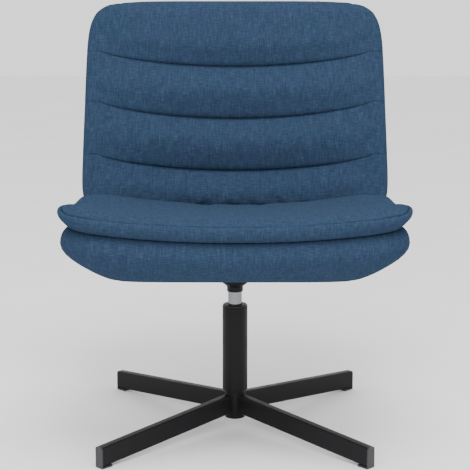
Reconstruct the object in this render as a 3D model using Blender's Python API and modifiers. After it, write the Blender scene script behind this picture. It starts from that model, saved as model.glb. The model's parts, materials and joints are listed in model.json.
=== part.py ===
# A four-legged swivel office chair: an upholstered back and seat on a gas lift.
# Metres, +Z up. The origin is on the floor under the swivel axis, and the sitter faces -Y.
import math

import bmesh
import bpy
from mathutils import Matrix, Vector

GAP = 0.0003                # clearance between neighbouring solids

# Pedestal base
LEG_REACH = 0.356           # swivel axis to the outer face of a foot cap
LEG_WIDTH = 0.0186
LEG_HEIGHT = 0.0378
LEG_CORNER = 0.004
LEG_WALL = 0.0015
LEG_FALL = 0.0818           # drop of the leg per metre of reach
LEG_AXIS_HEIGHT = 0.0504    # height of the leg's centre line, extended to the swivel axis
CAP_FLANGE = 0.0027
CAP_PLUG = 0.016
CAP_WIDTH = 0.0194
FOOT_LENGTH = 0.025
HUB_RADIUS = 0.020
HUB_WALL = 0.0017
HUB_BOTTOM = 0.0185

# Gas lift column
TUBE_RADIUS = 0.025
TUBE_WALL = 0.0015
TUBE_BOTTOM = 0.0765        # underside of the wide part, on top of the hub
TUBE_TOP = 0.2485
NECK_RADIUS = 0.018
NECK_BOTTOM = 0.020
BUSH_TOP = 0.252
BUSH_BOTTOM = 0.160
CYLINDER_RADIUS = 0.014
CYLINDER_BOTTOM = 0.052
CYLINDER_TOP = 0.308
ROD_RADIUS = 0.005
ROD_BOTTOM = 0.0187
ROD_TOP = 0.270
PLATE_BOTTOM = 0.024        # plate that closes the foot of the stand tube
PLATE_THICKNESS = 0.003
BALL_RADIUS = 0.0025
BALL_COUNT = 6
BALL_CIRCLE = 0.0105
RACE_THICKNESS = 0.0015
RACE_INNER = 0.0056
RACE_OUTER = 0.015
VALVE_RADIUS = 0.0025

# Seat mounting
SOCKET_RADIUS = 0.016
SOCKET_BOTTOM = 0.278
SOCKET_FLARE = 0.0175       # height over which the collar widens, above its foot
BRACKET_BOTTOM = 0.306
BRACKET_TOP = 0.3418
BRACKET_STEEL = 0.003
BRACKET_HALF_WIDTH = 0.100
BRACKET_HALF_LENGTH = 0.048
CHANNEL_HALF_WIDTH = 0.048
BOLT_X = 0.078
BOLT_Y = 0.030
LEVER_HEIGHT = 0.3205
LEVER_PIVOT_X = -0.0465
LEVER_ROD_RADIUS = 0.004
HANDLE_INNER_X = -0.140
HANDLE_OUTER_X = -0.205
HANDLE_HEIGHT = 0.3095

# Seat
SEAT_BOTTOM = 0.3420
SEAT_TOP = 0.4355           # top of the upholstered base under the pad, at the front
SEAT_WIDEST = 0.406
SEAT_HALF_WIDTH = 0.306     # at the rear
SEAT_FLARE = 0.0615         # extra half width towards the front
SEAT_MIDDLE_Y = -0.060
SEAT_FRONT_REACH = 0.2577
SEAT_FRONT_Y = -0.303
SEAT_SLOPE = 0.098          # the seat falls towards the back
SEAT_DISH = 0.020           # the sides stand higher than the middle
SEAT_DISH_HALF_WIDTH = 0.325
REAR_ROUNDING = 0.55        # the rear corners are tighter than the front and side ones
BASE_REAR_REACH = 0.302
BASE_CORNER = 0.109
BASE_RECESS = 0.004         # the base stands back under the edge of the pad
BASE_FLATTENING = 0.70      # how far the rounding underneath falls inside a true quarter round
BASE_TOP_ROUND = 0.018      # inset of the rounding at the top of the base
FRONT_POWER = 3.3           # squareness of the seat's front corners in plan
FRONT_POWER_BELOW = 7.0     # and at the underside
PAD_REAR_REACH = 0.213
PAD_THICKNESS = 0.036
PAD_WIDEST = 0.62           # share of the pad's height at which its edge stands out furthest
PAD_EDGE = ((0.0, 0.026), (0.2, 0.009), (0.5, 0.003), (1.0, 0.0))   # (share of that height, inset)
PAD_TOP_ROUND = 0.018
PAD_BOLSTER = 0.016         # extra thickness of the pad at its rear sides
BOLSTER_START = -0.090      # the bolster grows between these two places
BOLSTER_END = 0.045
PAD_WING = 0.0068           # lift of the pad's front corners
BOARD_INSET = 0.134
BOARD_THICKNESS = 0.012
COVER_THICKNESS = 0.0012

# Back, in its own leaning frame: X across, Z up along the back, Y through its thickness
BACK_FOOT = (0.0, 0.165, 0.421)
BACK_LEAN = math.radians(12.0)
BACK_HALF_WIDTH_TOP = 0.3075
BACK_HALF_WIDTH_BOTTOM = 0.3235
BACK_TOP = 0.433
BACK_BOTTOM = -0.012
BACK_MIDDLE = 0.215
BACK_CUSHION_DEPTH = 0.040
BACK_DEPTH = 0.0686
BACK_FRONT_ROUND = 0.020    # inset of the rounding round the front edge
BACK_FRONT_ROUND_DEPTH = 0.018
BACK_REAR_ROUND = 0.022
BACK_REAR_ROUND_DEPTH = 0.020
BACK_BOARD_INSET = 0.016
STRAP_X = 0.150
STRAP_WIDTH = 0.040
STRAP_STEEL = 0.004
STRAP_TOP = 0.170

ROUND_STEPS = 32
RING_POINTS = 40            # points round each ring of a soft form
SMALL_STEPS = 16            # sides of the small turned pieces


def clear_scene():
    for obj in list(bpy.data.objects):
        bpy.data.objects.remove(obj, do_unlink=True)


def make_collection(name):
    collection = bpy.data.collections.new(name)
    bpy.context.scene.collection.children.link(collection)
    return collection


def make_material(name, colour, roughness, metallic=0.0):
    material = bpy.data.materials.new(name)
    material.use_nodes = True
    shader = material.node_tree.nodes["Principled BSDF"]
    shader.inputs["Base Color"].default_value = (*colour, 1.0)
    shader.inputs["Roughness"].default_value = roughness
    shader.inputs["Metallic"].default_value = metallic
    material.diffuse_color = (*colour, 1.0)
    return material


clear_scene()
CHAIR = make_collection("swivel_chair")
CUTTERS = make_collection("cutters")


def add_object(name, mesh, material, parent=None):
    obj = bpy.data.objects.new(name, mesh)
    CHAIR.objects.link(obj)
    if material is not None and not mesh.materials:
        mesh.materials.append(material)
    obj.parent = parent
    return obj


def add_cutter(name, mesh, parent=None):
    obj = bpy.data.objects.new(name, mesh)
    CUTTERS.objects.link(obj)
    obj.hide_render = True
    obj.display_type = "WIRE"
    obj.parent = parent
    return obj


def add_empty(name, location, tilt=0.0):
    empty = bpy.data.objects.new(name, None)
    CHAIR.objects.link(empty)
    empty.location = location
    empty.rotation_euler.x = tilt
    return empty


def boolean(obj, other, operation="DIFFERENCE"):
    modifier = obj.modifiers.new(operation.lower(), "BOOLEAN")
    modifier.operation = operation
    modifier.solver = "EXACT"
    modifier.object = other


def bevel(obj, width, segments=2):
    modifier = obj.modifiers.new("bevel", "BEVEL")
    modifier.width = width
    modifier.segments = segments
    modifier.limit_method = "ANGLE"


def evaluated_mesh(obj, name):
    """A plain mesh of the object as its modifiers leave it, with loose caps welded."""
    bpy.context.view_layer.update()
    graph = bpy.context.evaluated_depsgraph_get()
    mesh = bpy.data.meshes.new_from_object(obj.evaluated_get(graph))
    mesh.name = name
    work = bmesh.new()
    work.from_mesh(mesh)
    bmesh.ops.remove_doubles(work, verts=work.verts, dist=1e-6)
    work.to_mesh(mesh)
    work.free()
    return mesh


def box_mesh(name, low, high):
    """A box between two corners."""
    low = Vector(low)
    high = Vector(high)
    work = bmesh.new()
    bmesh.ops.create_cube(work, size=1.0)
    bmesh.ops.scale(work, vec=high - low, verts=work.verts)
    bmesh.ops.translate(work, vec=(low + high) / 2, verts=work.verts)
    mesh = bpy.data.meshes.new(name)
    work.to_mesh(mesh)
    work.free()
    return mesh


def rod_mesh(name, radius, start, end, segments=ROUND_STEPS):
    """A solid round bar between two points."""
    start = Vector(start)
    end = Vector(end)
    work = bmesh.new()
    bmesh.ops.create_cone(
        work, cap_ends=True, segments=segments, radius1=radius, radius2=radius, depth=(end - start).length
    )
    turn = (end - start).to_track_quat("Z", "Y").to_matrix().to_4x4()
    bmesh.ops.transform(work, matrix=Matrix.Translation((start + end) / 2) @ turn, verts=work.verts)
    mesh = bpy.data.meshes.new(name)
    work.to_mesh(mesh)
    work.free()
    mesh.shade_smooth()
    mesh.set_sharp_from_angle(angle=math.radians(35))
    return mesh


def turned(name, profile, material, closed=True, parent=None, steps=ROUND_STEPS):
    """A turned piece. The profile of (radius, height) runs down the outside first."""
    mesh = bpy.data.meshes.new(name)
    edges = [(i, i + 1) for i in range(len(profile) - 1)]
    if closed:
        edges.append((len(profile) - 1, 0))
    mesh.from_pydata([(radius, 0.0, height) for radius, height in profile], edges, [])
    obj = add_object(name, mesh, material, parent)
    screw = obj.modifiers.new("turn", "SCREW")
    screw.steps = steps
    screw.render_steps = steps
    screw.use_merge_vertices = True
    screw.merge_threshold = 0.00001
    screw.use_smooth_shade = True
    return obj


def ring(name, inner, outer, bottom, top, material, parent=None, steps=ROUND_STEPS):
    """A plain washer or sleeve."""
    profile = [(outer, top), (outer, bottom), (inner, bottom), (inner, top)]
    return turned(name, profile, material, parent=parent, steps=steps)


def outline_prism(name, outlines, thickness):
    """A flat outline with holes in the XY plane, thickened evenly about it, as a mesh."""
    curve = bpy.data.curves.new(name, "CURVE")
    curve.dimensions = "2D"
    curve.fill_mode = "BOTH"
    curve.extrude = thickness / 2
    for points in outlines:
        spline = curve.splines.new("POLY")
        spline.points.add(len(points) - 1)
        for point, (x, y) in zip(spline.points, points):
            point.co = (x, y, 0.0, 1.0)
        spline.use_cyclic_u = True
    obj = bpy.data.objects.new(name, curve)
    CUTTERS.objects.link(obj)
    mesh = evaluated_mesh(obj, name)
    bpy.data.objects.remove(obj, do_unlink=True)
    bpy.data.curves.remove(curve)
    return mesh


def rounded_rectangle(width, height, radius, steps=4):
    """Corner arcs of a rectangle centred on the origin."""
    points = []
    for corner in range(4):
        start = corner * math.pi / 2
        sign_x = 1 if corner in (0, 3) else -1
        sign_y = 1 if corner in (0, 1) else -1
        centre_x = sign_x * (width / 2 - radius)
        centre_y = sign_y * (height / 2 - radius)
        for step in range(steps + 1):
            angle = start + step * math.pi / 2 / steps
            points.append((centre_x + radius * math.cos(angle), centre_y + radius * math.sin(angle)))
    return points


def lean_down(mesh):
    """Shear a piece that runs along +X so that it falls outwards like a leg."""
    for vertex in mesh.vertices:
        vertex.co.z -= LEG_FALL * vertex.co.x


def along_leg(name, outlines, start, end):
    """A straight leg section from one reach to another, on the leg's sloping centre line."""
    mesh = outline_prism(name, outlines, end - start)
    stand_up = Matrix.Rotation(math.pi / 2, 4, "Z") @ Matrix.Rotation(math.pi / 2, 4, "X")
    mesh.transform(Matrix.Translation(((start + end) / 2, 0.0, LEG_AXIS_HEIGHT)) @ stand_up)
    lean_down(mesh)
    return mesh


def superellipse(half_width, middle, low_end, high_end, inset):
    """Points (across, along) of a soft rectangle whose half width depends on the place along it.

    Each end is a pair: its reach from the middle and the power that squares its corners.
    """
    points = []
    for index in range(RING_POINTS):
        angle = 2 * math.pi * index / RING_POINTS
        reach, power = high_end if math.sin(angle) >= 0 else low_end
        across = math.copysign(abs(math.cos(angle)) ** (2 / power), math.cos(angle))
        along = middle + reach * math.copysign(abs(math.sin(angle)) ** (2 / power), math.sin(angle))
        points.append((across * (half_width(along) - inset), along))
    return points


def loft(name, rings):
    """A closed skin through rings of points, each end drawn in to a middle point."""
    work = bmesh.new()
    rows = [[work.verts.new(point) for point in points] for points in rings]
    count = len(rows[0])
    for lower, upper in zip(rows, rows[1:]):
        for i in range(count):
            j = (i + 1) % count
            work.faces.new((lower[i], lower[j], upper[j], upper[i]))
    for row, forward in ((rows[0], False), (rows[-1], True)):
        middle = work.verts.new(sum((vertex.co for vertex in row), Vector()) / count)
        for i in range(count):
            pair = (row[i], row[(i + 1) % count])
            work.faces.new((*pair, middle) if forward else (*reversed(pair), middle))
    bmesh.ops.recalc_face_normals(work, faces=work.faces)
    mesh = bpy.data.meshes.new(name)
    work.to_mesh(mesh)
    work.free()
    mesh.shade_smooth()
    mesh.set_sharp_from_angle(angle=math.radians(50))
    return mesh


def quarter(fraction):
    """Inset of a quarter round at a fraction of its height, 1 at its foot and 0 at its full width."""
    return 1 - math.sqrt(max(0.0, 1 - fraction * fraction))


# Pedestal base

black_coat = make_material("black_powder_coat", (0.02, 0.02, 0.021), 0.42, 0.3)
grey_cap = make_material("foot_cap_plastic", (0.06, 0.06, 0.062), 0.55)
black_plastic = make_material("black_plastic", (0.012, 0.012, 0.013), 0.5)
bright_steel = make_material("zinc_plated_steel", (0.5, 0.5, 0.52), 0.35, 1.0)
chrome = make_material("chrome", (0.6, 0.6, 0.62), 0.12, 1.0)
rubber = make_material("rubber", (0.015, 0.015, 0.015), 0.8)
plywood = make_material("plywood", (0.55, 0.38, 0.21), 0.6)
blue_fabric = make_material("blue_fabric", (0.045, 0.10, 0.18), 0.9)
black_cloth = make_material("dust_cover_cloth", (0.02, 0.02, 0.02), 0.95)

LEGS = {"front_right": 225, "front_left": 315, "rear_left": 45, "rear_right": 135}


def build_hub():
    inner = HUB_RADIUS - HUB_WALL
    ring("hub_tube", inner, HUB_RADIUS, HUB_BOTTOM, TUBE_BOTTOM - 2 * GAP, black_coat)


def leg_mesh():
    """A hollow rectangular tube, coped round the hub at its inner end."""
    outer = rounded_rectangle(LEG_WIDTH, LEG_HEIGHT, LEG_CORNER)
    inner = rounded_rectangle(LEG_WIDTH - 2 * LEG_WALL, LEG_HEIGHT - 2 * LEG_WALL, LEG_CORNER - LEG_WALL)
    blank = add_cutter("leg_blank", along_leg("leg_blank", [outer, inner], 0.012, LEG_REACH - CAP_FLANGE))
    cope = add_cutter("hub_cope", rod_mesh("hub_cope", HUB_RADIUS + GAP, (0, 0, 0), (0, 0, 0.1), 64))
    boolean(blank, cope)
    mesh = evaluated_mesh(blank, "leg")
    bpy.data.objects.remove(blank, do_unlink=True)
    bpy.data.objects.remove(cope, do_unlink=True)
    return mesh


def foot_cap_mesh():
    """The end plug, its outer flange and the foot under the tube, in one moulding."""
    flange_start = LEG_REACH - CAP_FLANGE + GAP
    face = rounded_rectangle(CAP_WIDTH - 0.0004, LEG_HEIGHT, LEG_CORNER)
    plug_width = LEG_WIDTH - 2 * LEG_WALL - 2 * GAP
    plug_height = LEG_HEIGHT - 2 * LEG_WALL - 2 * GAP
    plug = rounded_rectangle(plug_width, plug_height, LEG_CORNER - LEG_WALL)
    foot_start = LEG_REACH - FOOT_LENGTH

    def tube_underside(reach):
        return LEG_AXIS_HEIGHT - LEG_HEIGHT / 2 - LEG_FALL * reach - GAP

    side = [
        (foot_start, 0.0),
        (LEG_REACH, 0.0),
        (LEG_REACH, 0.010),
        (flange_start, 0.010),
        (flange_start, tube_underside(flange_start)),
        (foot_start, tube_underside(foot_start)),
    ]
    foot_shape = outline_prism("foot", [side], CAP_WIDTH)
    foot_shape.transform(Matrix.Rotation(math.pi / 2, 4, "X"))
    foot = add_cutter("foot", foot_shape)
    bevel(foot, 0.0008)
    flange = add_cutter("flange", along_leg("flange", [face], flange_start, LEG_REACH))
    insert = add_cutter("insert", along_leg("insert", [plug], LEG_REACH - CAP_PLUG, LEG_REACH - 0.001))
    boolean(foot, flange, "UNION")
    boolean(foot, insert, "UNION")
    mesh = evaluated_mesh(foot, "foot_cap")
    for piece in (foot, flange, insert):
        bpy.data.objects.remove(piece, do_unlink=True)
    return mesh


def build_legs():
    leg = leg_mesh()
    cap = foot_cap_mesh()
    for side, degrees in LEGS.items():
        for name, mesh, material in (("leg", leg, black_coat), ("foot_cap", cap, grey_cap)):
            obj = add_object(f"{name}_{side}", mesh, material)
            obj.rotation_euler.z = math.radians(degrees)


# Gas lift column

def build_stand_tube():
    inner = TUBE_RADIUS - TUBE_WALL
    neck_inner = NECK_RADIUS - TUBE_WALL
    profile = [
        (inner + 0.0005, TUBE_TOP),
        (TUBE_RADIUS - 0.0004, TUBE_TOP - 0.0004),
        (TUBE_RADIUS, TUBE_TOP - 0.0015),
        (TUBE_RADIUS, TUBE_BOTTOM + 0.002),
        (TUBE_RADIUS - 0.0006, TUBE_BOTTOM + 0.0006),
        (TUBE_RADIUS - 0.002, TUBE_BOTTOM),
        (NECK_RADIUS, TUBE_BOTTOM),
        (NECK_RADIUS, NECK_BOTTOM),
        (neck_inner, NECK_BOTTOM),
        (neck_inner, TUBE_BOTTOM + TUBE_WALL),
        (inner, TUBE_BOTTOM + TUBE_WALL),
        (inner, TUBE_TOP),
    ]
    turned("stand_tube", profile, black_coat)
    ring("bottom_plate", ROD_RADIUS + 2 * GAP, neck_inner - GAP, PLATE_BOTTOM,
         PLATE_BOTTOM + PLATE_THICKNESS, black_coat)


def build_guide_bush():
    """A plastic sleeve that guides the cylinder, with a rim on top of the stand tube."""
    inner = CYLINDER_RADIUS + GAP
    outer = TUBE_RADIUS - TUBE_WALL - GAP
    rim = TUBE_RADIUS - 0.0006
    profile = [
        (inner + 0.0015, BUSH_TOP),
        (rim - 0.0015, BUSH_TOP),
        (rim, BUSH_TOP - 0.0015),
        (rim, TUBE_TOP + GAP),
        (outer, TUBE_TOP + GAP),
        (outer, BUSH_BOTTOM),
        (inner, BUSH_BOTTOM),
        (inner, BUSH_TOP - 0.0015),
    ]
    turned("guide_bush", profile, black_plastic)


def build_bearing():
    """The thrust bearing that the rod turns on, above the bottom plate."""
    race = PLATE_BOTTOM + PLATE_THICKNESS + GAP
    ring("lower_bearing_washer", RACE_INNER, RACE_OUTER, race, race + RACE_THICKNESS, bright_steel,
         steps=24)
    ball_height = race + RACE_THICKNESS + GAP + BALL_RADIUS
    cage = ring("bearing_cage", 0.0062, 0.0145, ball_height - 0.0008, ball_height + 0.0008, black_plastic,
                steps=24)
    for index in range(BALL_COUNT):
        angle = 2 * math.pi * index / BALL_COUNT
        place = Vector((BALL_CIRCLE * math.cos(angle), BALL_CIRCLE * math.sin(angle), ball_height))
        step = Vector((0, 0, 0.002))
        pocket = add_cutter(f"ball_pocket_{index + 1}",
                            rod_mesh("ball_pocket", BALL_RADIUS + GAP, place - step, place + step, 12))
        boolean(cage, pocket)
        work = bmesh.new()
        bmesh.ops.create_uvsphere(work, u_segments=10, v_segments=6, radius=BALL_RADIUS)
        mesh = bpy.data.meshes.new("bearing_ball")
        work.to_mesh(mesh)
        work.free()
        mesh.shade_smooth()
        ball = add_object(f"bearing_ball_{index + 1}", mesh, bright_steel)
        ball.location = place
    upper = ball_height + BALL_RADIUS + GAP
    ring("upper_bearing_washer", RACE_INNER, RACE_OUTER, upper, upper + RACE_THICKNESS, bright_steel,
         steps=24)
    buffer_bottom = upper + RACE_THICKNESS + GAP
    profile = [
        (0.0105, buffer_bottom + 0.012),
        (0.012, buffer_bottom + 0.0105),
        (0.012, buffer_bottom),
        (RACE_INNER, buffer_bottom),
        (RACE_INNER, buffer_bottom + 0.012),
    ]
    turned("rubber_buffer", profile, rubber, steps=SMALL_STEPS)


def build_piston():
    """The rod hangs from its clip under the bottom plate and carries the piston at its top."""
    groove = 0.0008
    clip_bottom = ROD_BOTTOM + 0.0014
    clip_top = clip_bottom + 0.0012
    profile = [
        (0.0, ROD_TOP),
        (ROD_RADIUS - 0.0005, ROD_TOP),
        (ROD_RADIUS, ROD_TOP - 0.0005),
        (ROD_RADIUS, clip_top + GAP),
        (ROD_RADIUS - groove, clip_top + GAP),
        (ROD_RADIUS - groove, clip_bottom - GAP),
        (ROD_RADIUS, clip_bottom - GAP),
        (ROD_RADIUS, ROD_BOTTOM),
        (0.0, ROD_BOTTOM),
    ]
    turned("piston_rod", profile, bright_steel, closed=False, steps=SMALL_STEPS)
    piston_radius = CYLINDER_RADIUS - 0.002 - GAP
    profile = [
        (0.0, ROD_TOP + 0.012),
        (piston_radius - 0.001, ROD_TOP + 0.012),
        (piston_radius, ROD_TOP + 0.011),
        (piston_radius, ROD_TOP + 0.0075),
        (piston_radius - 0.0012, ROD_TOP + 0.0075),
        (piston_radius - 0.0012, ROD_TOP + 0.0045),
        (piston_radius, ROD_TOP + 0.0045),
        (piston_radius, ROD_TOP + GAP),
        (0.0, ROD_TOP + GAP),
    ]
    turned("piston_head", profile, bright_steel, closed=False, steps=SMALL_STEPS)
    opening = math.radians(40)
    arcs = []
    steps = 20
    inner = ROD_RADIUS - groove + GAP
    for radius, forward in ((0.0085, True), (inner, False)):
        for step in range(steps + 1):
            part = step if forward else steps - step
            angle = opening + (2 * math.pi - 2 * opening) * part / steps
            arcs.append((radius * math.cos(angle), radius * math.sin(angle)))
    clip = add_object("retaining_clip", outline_prism("clip", [arcs], clip_top - clip_bottom), bright_steel)
    clip.location.z = (clip_bottom + clip_top) / 2
    ring("retaining_washer", RACE_INNER, 0.012, clip_top + GAP, PLATE_BOTTOM - GAP, bright_steel,
         steps=SMALL_STEPS)


def build_cylinder():
    """The chromed gas cylinder, open below for the rod and tapered where the seat grips it."""
    bore = CYLINDER_RADIUS - 0.002
    taper = 0.0008
    head = 0.008
    profile = [
        (VALVE_RADIUS + GAP, CYLINDER_TOP),
        (CYLINDER_RADIUS - taper - 0.001, CYLINDER_TOP),
        (CYLINDER_RADIUS - taper, CYLINDER_TOP - 0.001),
        (CYLINDER_RADIUS, SOCKET_BOTTOM - 0.001),
        (CYLINDER_RADIUS, CYLINDER_BOTTOM + 0.001),
        (CYLINDER_RADIUS - 0.001, CYLINDER_BOTTOM),
        (bore, CYLINDER_BOTTOM),
        (bore, CYLINDER_TOP - head),
        (VALVE_RADIUS + GAP, CYLINDER_TOP - head),
    ]
    turned("gas_cylinder", profile, chrome)
    ring("rod_seal", ROD_RADIUS + GAP, bore - GAP, CYLINDER_BOTTOM + 0.001, CYLINDER_BOTTOM + 0.013, rubber,
         steps=SMALL_STEPS)
    button_top = LEVER_HEIGHT - LEVER_ROD_RADIUS - 0.0005
    profile = [
        (0.0, button_top),
        (VALVE_RADIUS - 0.0005, button_top),
        (VALVE_RADIUS, button_top - 0.0005),
        (VALVE_RADIUS, CYLINDER_TOP - 0.018),
        (0.0, CYLINDER_TOP - 0.018),
    ]
    turned("valve_pin", profile, bright_steel, closed=False, steps=SMALL_STEPS)


# Seat mounting

def build_socket():
    """A collar that grips the cylinder's taper and flares out under the bracket."""
    bore = CYLINDER_RADIUS + GAP
    bore_top = CYLINDER_RADIUS - 0.0008 + GAP + 0.0002
    hole = 0.019
    profile = [
        (hole, BRACKET_BOTTOM + 0.006),
        (hole, BRACKET_BOTTOM - GAP),
        (0.025, BRACKET_BOTTOM - GAP),
        (0.025, SOCKET_BOTTOM + SOCKET_FLARE),
        (SOCKET_RADIUS, SOCKET_BOTTOM + 0.009),
        (SOCKET_RADIUS, SOCKET_BOTTOM + 0.002),
        (SOCKET_RADIUS - 0.0006, SOCKET_BOTTOM + 0.0006),
        (SOCKET_RADIUS - 0.0012, SOCKET_BOTTOM),
        (bore, SOCKET_BOTTOM),
        (bore_top, BRACKET_BOTTOM + 0.006),
    ]
    turned("taper_socket", profile, black_coat)


def build_bracket():
    """A folded steel channel between the socket and the seat board, holding the lever."""
    top = BRACKET_TOP
    low = BRACKET_BOTTOM
    wall = BRACKET_STEEL
    side = CHANNEL_HALF_WIDTH
    half = BRACKET_HALF_WIDTH
    section = [
        (-half, top), (-half, top - wall), (-side, top - wall), (-side, low), (side, low), (side, top - wall),
        (half, top - wall), (half, top), (side - wall, top), (side - wall, low + wall),
        (-side + wall, low + wall), (-side + wall, top),
    ]
    mesh = outline_prism("bracket", [section], 2 * BRACKET_HALF_LENGTH)
    mesh.transform(Matrix.Rotation(math.pi / 2, 4, "X"))
    bracket = add_object("seat_bracket", mesh, black_coat)
    bevel(bracket, 0.0012)
    holes = [("socket_hole", 0.0193, (0, 0, low - 0.01), (0, 0, low + 0.01))]
    holes.append(("lever_hole", 0.0083, (-side - 0.01, 0, LEVER_HEIGHT), (-side + 0.01, 0, LEVER_HEIGHT)))
    for index, (x, y) in enumerate(bolt_places()):
        holes.append((f"bracket_bolt_hole_{index + 1}", 0.0034, (x, y, top - 0.01), (x, y, top + 0.01)))
    for name, radius, start, end in holes:
        boolean(bracket, add_cutter(name, rod_mesh(name, radius, start, end, 24)))


def bolt_places():
    return [(x, y) for x in (-BOLT_X, BOLT_X) for y in (-BOLT_Y, BOLT_Y)]


def bolt_mesh(name, length):
    """A hexagon flange bolt, its shank along +Z and its head below the origin."""
    head = add_cutter("bolt_head", rod_mesh("bolt_head", 0.0055, (0, 0, -0.0045), (0, 0, -0.0005), 6))
    profile = [
        (0.0, length), (0.0025, length), (0.003, length - 0.0005), (0.003, 0.0), (0.0065, 0.0),
        (0.0065, -0.001), (0.0, -0.001),
    ]
    blank = turned("bolt_blank", profile, None, closed=False, steps=12)
    boolean(blank, head, "UNION")
    mesh = evaluated_mesh(blank, name)
    bpy.data.objects.remove(blank, do_unlink=True)
    bpy.data.objects.remove(head, do_unlink=True)
    return mesh


def build_bracket_bolts():
    """Four bolts from below into tee nuts in the seat board."""
    board_bottom = BRACKET_TOP + 2 * GAP + COVER_THICKNESS
    board_top = board_bottom + BOARD_THICKNESS
    mesh = bolt_mesh("bracket_bolt", 0.020)
    for index, (x, y) in enumerate(bolt_places()):
        bolt = add_object(f"bracket_bolt_{index + 1}", mesh, bright_steel)
        bolt.location = (x, y, BRACKET_TOP - BRACKET_STEEL - GAP)
        nut = turned(f"tee_nut_{index + 1}", [
            (0.0085, board_top + GAP + 0.0013), (0.0085, board_top + GAP), (0.0044, board_top + GAP),
            (0.0044, board_top - 0.008), (0.0034, board_top - 0.008), (0.0034, board_top + GAP + 0.0013),
        ], bright_steel, steps=12)
        nut.location = (x, y, 0.0)


def build_lever():
    """The height lever: a bent rod that rocks in a bush in the bracket's side wall."""
    pivot = add_empty("lever_pivot", (LEVER_PIVOT_X, 0.0, LEVER_HEIGHT))
    fall = LEVER_HEIGHT - HANDLE_HEIGHT
    start = HANDLE_INNER_X - LEVER_PIVOT_X
    path = [(0.0515, 0.0), (-0.012, 0.0), (-0.022, -0.05 * fall), (-0.035, -0.2 * fall),
            (start + 0.012, -0.97 * fall), (start, -fall), (start - 0.022, -fall)]
    curve = bpy.data.curves.new("lever_rod", "CURVE")
    curve.dimensions = "3D"
    curve.bevel_depth = LEVER_ROD_RADIUS
    curve.bevel_resolution = 2
    curve.use_fill_caps = True
    spline = curve.splines.new("POLY")
    spline.points.add(len(path) - 1)
    for point, (x, z) in zip(spline.points, path):
        point.co = (x, 0.0, z, 1.0)
    add_object("lever_rod", curve, bright_steel, pivot)
    outer = HANDLE_OUTER_X - LEVER_PIVOT_X
    grip = box_mesh("lever_handle", (outer, -0.015, -fall - 0.0062), (start, 0.015, -fall + 0.0062))
    handle = add_object("lever_handle", grip, black_plastic, pivot)
    bevel(handle, 0.004, 3)
    mouth = (start + 0.01, 0, -fall)
    bore = rod_mesh("grip_bore", LEVER_ROD_RADIUS + GAP, mouth, (start - 0.024, 0, -fall), 24)
    boolean(handle, add_cutter("grip_bore", bore, pivot))
    sleeve = 0.0049
    barrel = 0.008
    collar = 0.011
    wall_outside = CHANNEL_HALF_WIDTH + LEVER_PIVOT_X + GAP
    bush = turned("lever_bush", [
        (sleeve, wall_outside + 0.002), (collar, wall_outside + 0.002), (collar, wall_outside),
        (barrel, wall_outside), (barrel, -0.004), (sleeve, -0.004),
    ], black_plastic, steps=SMALL_STEPS)
    bush.location = pivot.location
    bush.rotation_euler.y = -math.pi / 2


# Seat

def seat_half_width(y):
    return SEAT_HALF_WIDTH + SEAT_FLARE * ((0.2 - y) / 0.5) ** 2


def seat_outline(inset, rear_reach, power=FRONT_POWER):
    front = (SEAT_FRONT_REACH - inset, power)
    rear = (rear_reach - inset * REAR_ROUNDING, 6.0)
    return superellipse(seat_half_width, SEAT_MIDDLE_Y, front, rear, inset)


def seat_lift(x, y):
    """Height that the seat's slope and dish add to a level seat."""
    return SEAT_SLOPE * (SEAT_FRONT_Y - y) + SEAT_DISH * (x / SEAT_DISH_HALF_WIDTH) ** 2


def smooth_step(value, low, high):
    """0 below low and 1 above high, smooth between."""
    share = min(max((value - low) / (high - low), 0.0), 1.0)
    return share ** 2 * (3 - 2 * share)


def pad_corner_lift(x, y):
    """How far the pad's front corners turn up, beyond the seat's dish."""
    along = smooth_step(y, -0.26, -0.17) * (1 - smooth_step(y, -0.12, -0.02))
    return PAD_WING * (x / SEAT_DISH_HALF_WIDTH) ** 6 * along


def seat_ring(height, inset, rear_reach, share, shrink=1.0, bolster=0.0, power=FRONT_POWER, wing=0.0):
    """One ring of the seat, with its share of the slope and dish, drawn in towards the middle."""
    points = []
    for x, y in seat_outline(inset, rear_reach, power):
        x = x * shrink
        y = SEAT_MIDDLE_Y + (y - SEAT_MIDDLE_Y) * shrink
        side = bolster * smooth_step(y, BOLSTER_START, BOLSTER_END) * (x / SEAT_DISH_HALF_WIDTH) ** 2
        points.append((x, y, height + share * seat_lift(x, y) + side + wing * pad_corner_lift(x, y)))
    return points


def board_prism(name, inset, bottom, top):
    """A flat sheet with the outline of the seat's underside."""
    mesh = outline_prism(name, [seat_outline(inset, BASE_REAR_REACH)], top - bottom)
    mesh.transform(Matrix.Translation((0.0, 0.0, (bottom + top) / 2)))
    return mesh


def base_ring(height, inset, shrink=1.0):
    share = (height - SEAT_BOTTOM) / (SEAT_TOP - SEAT_BOTTOM)
    below = max(0.0, (SEAT_WIDEST - height) / (SEAT_WIDEST - SEAT_BOTTOM))
    power = FRONT_POWER + (FRONT_POWER_BELOW - FRONT_POWER) * below ** 4
    return seat_ring(height, inset + BASE_RECESS, BASE_REAR_REACH, share, shrink, 0.0, power)


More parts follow.
